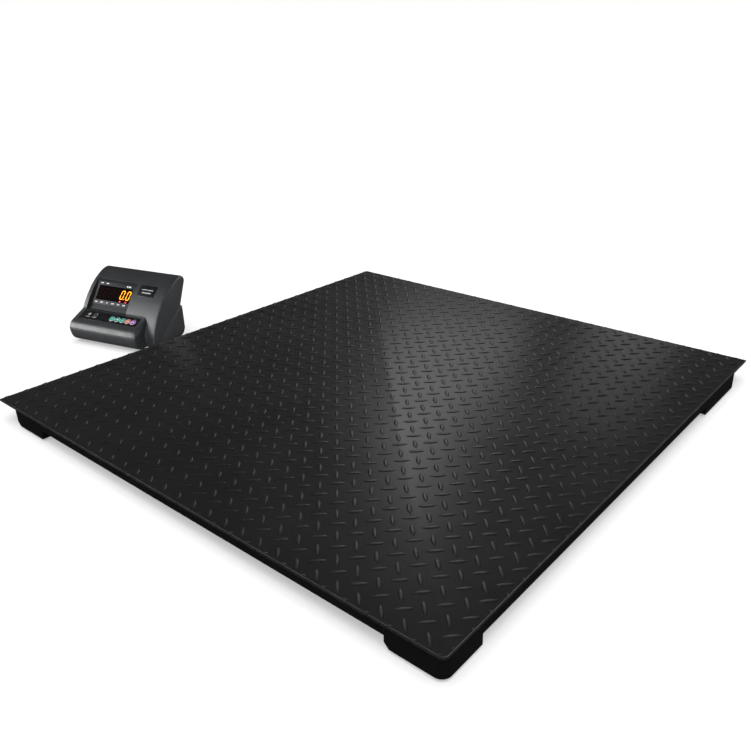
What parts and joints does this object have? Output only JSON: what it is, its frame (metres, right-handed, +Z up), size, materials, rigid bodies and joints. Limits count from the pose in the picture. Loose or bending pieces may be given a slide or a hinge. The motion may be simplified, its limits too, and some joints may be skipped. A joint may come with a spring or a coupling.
{
  "type": "pallet scale",
  "caption": "Low square tread-plate weighing platform on load cells with levelling feet, and a wedge-shaped desk-top indicator with a red numeric display and round keys.",
  "frame": {"origin": "centre of the deck's top face", "axes": "+Z up out of the deck; the front skirt faces -Y, the right skirt faces +X, and the floor is at Z = -0.046"},
  "size_m": [1.5494, 1.2, 0.169],
  "materials": {
    "deck_paint": "satin black stoving paint over rolled tread plate",
    "frame_paint": "satin black paint",
    "cell_metal": "machined and plated",
    "bolt_zinc": "zinc plated",
    "pad_rubber": "moulded",
    "cable_black": "smooth cable sheath",
    "clip_plastic": "nylon",
    "box_steel": "brushed stainless steel",
    "gland_black": "moulded nylon",
    "board_green": "solder-masked circuit board",
    "case_upper": "dark slate moulded plastic, fine spark texture",
    "case_lower": "dark slate moulded plastic, fine spark texture",
    "bezel_grey": "printed display frame, satin",
    "window_red": "dark red filter, gloss",
    "digit_red": "seven-segment modules",
    "overlay_black": "printed polyester film",
    "plate_black": "satin label",
    "key_teal": "embossed key, light rim",
    "key_orange": "embossed key, light rim",
    "key_purple": "embossed key, light rim",
    "socket_metal": "nickel plated",
    "transformer_core": "varnished laminations",
    "battery_case": "sealed lead-acid case",
    "foot_rubber": "moulded",
    "switch_black": "moulded nylon",
    "rocker_red": "translucent red rocker"
  },
  "bodies": {
    "platform": {"deck_plate": "deck_paint", "front_skirt": "frame_paint", "right_skirt": "frame_paint", "far_rail": "frame_paint", "left_rail": "frame_paint", "rib_1": "frame_paint", "rib_2": "frame_paint", "rib_3": "frame_paint", "rib_4": "frame_paint", "front_housing": "frame_paint", "right_housing": "frame_paint", "rear_housing": "frame_paint", "left_housing": "frame_paint", "cell_plates": "frame_paint", "front_load_cell": "cell_metal", "right_load_cell": "cell_metal", "rear_load_cell": "cell_metal", "left_load_cell": "cell_metal", "cell_bolts": "bolt_zinc", "cell_glands": "bolt_zinc", "cell_cables": "cable_black", "cable_clips": "clip_plastic", "foot_locknuts": "bolt_zinc", "junction_box": "box_steel", "junction_lid": "box_steel", "junction_screws": "bolt_zinc", "junction_board": "board_green", "junction_glands": "gland_black"},
    "front_foot": {"front_foot_stem": "bolt_zinc"},
    "front_pad": {"front_foot_pad": "pad_rubber"},
    "right_foot": {"right_foot_stem": "bolt_zinc"},
    "right_pad": {"right_foot_pad": "pad_rubber"},
    "rear_foot": {"rear_foot_stem": "bolt_zinc"},
    "rear_pad": {"rear_foot_pad": "pad_rubber"},
    "left_foot": {"left_foot_stem": "bolt_zinc"},
    "left_pad": {"left_foot_pad": "pad_rubber"},
    "indicator": {"upper_shell": "case_upper", "lower_shell": "case_lower", "display_bezel": "bezel_grey", "display_window": "window_red", "digit_modules": "digit_red", "display_board": "board_green", "nameplate": "plate_black", "keypad_overlay": "overlay_black", "keypad_board": "board_green", "main_board": "board_green", "rear_sockets": "socket_metal", "transformer": "transformer_core", "battery": "battery_case", "case_feet": "foot_rubber", "case_screws": "bolt_zinc", "switch_body": "switch_black", "power_inlet": "gland_black"},
    "key_1": {"key_1": "key_teal"},
    "key_2": {"key_2": "key_teal"},
    "key_3": {"key_3": "key_teal"},
    "key_4": {"key_4": "key_orange"},
    "key_5": {"key_5": "key_purple"},
    "rocker": {"switch_rocker": "rocker_red"},
    "battery_cover": {"battery_cover": "case_lower"}
  },
  "joints": [
    {"name": "front_foot_level", "type": "slide", "parent": "platform", "child": "front_foot", "axis": [0, 0, -1], "range_m": [0, 0.005]},
    {"name": "front_pad_tilt", "type": "hinge", "parent": "front_foot", "child": "front_pad", "pos_m": [0.55, -0.572, -0.0404], "axis": [1, 0, 0], "range_deg": [-3, 3]},
    {"name": "right_foot_level", "type": "slide", "parent": "platform", "child": "right_foot", "axis": [0, 0, -1], "range_m": [0, 0.005]},
    {"name": "right_pad_tilt", "type": "hinge", "parent": "right_foot", "child": "right_pad", "pos_m": [0.55, 0.492, -0.0404], "axis": [1, 0, 0], "range_deg": [-3, 3]},
    {"name": "rear_foot_level", "type": "slide", "parent": "platform", "child": "rear_foot", "axis": [0, 0, -1], "range_m": [0, 0.005]},
    {"name": "rear_pad_tilt", "type": "hinge", "parent": "rear_foot", "child": "rear_pad", "pos_m": [-0.48, 0.492, -0.0404], "axis": [1, 0, 0], "range_deg": [-3, 3]},
    {"name": "left_foot_level", "type": "slide", "parent": "platform", "child": "left_foot", "axis": [0, 0, -1], "range_m": [0, 0.005]},
    {"name": "left_pad_tilt", "type": "hinge", "parent": "left_foot", "child": "left_pad", "pos_m": [-0.48, -0.572, -0.0404], "axis": [1, 0, 0], "range_deg": [-3, 3]},
    {"name": "indicator_lift", "type": "slide", "parent": "platform", "child": "indicator", "axis": [0, 0, 1], "range_m": [0, 0.3]},
    {"name": "key_1_press", "type": "slide", "parent": "indicator", "child": "key_1", "axis": [-0.104, 0.388, -0.9158], "range_m": [0, 0.0006], "stiffness_N_per_m": 1500, "springref_m": -0.0004},
    {"name": "key_2_press", "type": "slide", "parent": "indicator", "child": "key_2", "axis": [-0.104, 0.388, -0.9158], "range_m": [0, 0.0006], "stiffness_N_per_m": 1500, "springref_m": -0.0004},
    {"name": "key_3_press", "type": "slide", "parent": "indicator", "child": "key_3", "axis": [-0.104, 0.388, -0.9158], "range_m": [0, 0.0006], "stiffness_N_per_m": 1500, "springref_m": -0.0004},
    {"name": "key_4_press", "type": "slide", "parent": "indicator", "child": "key_4", "axis": [-0.104, 0.388, -0.9158], "range_m": [0, 0.0006], "stiffness_N_per_m": 1500, "springref_m": -0.0004},
    {"name": "key_5_press", "type": "slide", "parent": "indicator", "child": "key_5", "axis": [-0.104, 0.388, -0.9158], "range_m": [0, 0.0006], "stiffness_N_per_m": 1500, "springref_m": -0.0004},
    {"name": "power_rocker", "type": "hinge", "parent": "indicator", "child": "rocker", "pos_m": [-0.72448, -0.06092, 0.012], "axis": [0.9659, 0.2588, 0], "range_deg": [0, 18]},
    {"name": "battery_cover_remove", "type": "slide", "parent": "indicator", "child": "battery_cover", "axis": [0, 0, -1], "range_m": [0, 0.05]}
  ]
}
